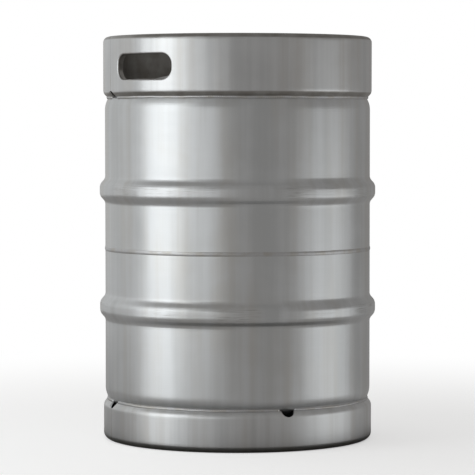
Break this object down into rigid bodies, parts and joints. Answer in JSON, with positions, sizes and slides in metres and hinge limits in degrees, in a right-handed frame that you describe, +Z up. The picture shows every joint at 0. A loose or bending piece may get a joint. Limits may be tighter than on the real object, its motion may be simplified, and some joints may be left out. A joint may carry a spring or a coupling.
{
  "type": "beer keg",
  "caption": "Straight-sided stainless steel keg with rolled chimes, hand holes and rolling ribs, and a sprung spear valve in its neck for a twist-on tap coupler.",
  "frame": {"origin": "centre of the foot chime's resting plane, on the keg's axis", "axes": "+Z up along the keg's axis, and the hand holes face -Y and +Y"},
  "size_m": [0.4079, 0.408, 0.592],
  "materials": {
    "shell_steel": "satin, pickled stainless sheet",
    "chime_steel": "satin, rolled stainless sheet",
    "weld_steel": "cleaned weld bead",
    "forged_steel": "turned",
    "valve_steel": "bright turned",
    "spring_steel": "drawn wire",
    "ball_steel": "polished",
    "seal_rubber": "moulded, satin",
    "bush_plastic": "moulded"
  },
  "bodies": {
    "keg": {"upper_shell": "shell_steel", "lower_shell": "shell_steel", "girth_weld": "weld_steel", "top_chime": "chime_steel", "top_chime_seam": "weld_steel", "top_chime_weld": "weld_steel", "bottom_chime": "chime_steel", "bottom_chime_seam": "weld_steel", "bottom_chime_weld": "weld_steel", "neck": "forged_steel", "neck_weld": "weld_steel", "neck_gasket": "seal_rubber", "valve_body": "valve_steel", "retaining_ring": "spring_steel", "spring_cage": "valve_steel", "guide_bush": "bush_plastic", "gas_spring": "spring_steel"},
    "gas_valve": {"gas_seal": "seal_rubber", "tube_head": "valve_steel", "spear_tube": "valve_steel", "ball_spring": "spring_steel"},
    "beer_valve": {"valve_ball": "ball_steel"}
  },
  "joints": [
    {"name": "gas_valve_slide", "type": "slide", "parent": "keg", "child": "gas_valve", "axis": [0, 0, -1], "range_m": [0, 0.006], "stiffness_N_per_m": 8000, "springref_m": -0.008, "deforming": ["gas_spring"]},
    {"name": "beer_valve_slide", "type": "slide", "parent": "gas_valve", "child": "beer_valve", "axis": [0, 0, -1], "range_m": [0, 0.005], "stiffness_N_per_m": 400, "springref_m": -0.004, "deforming": ["ball_spring"]}
  ]
}
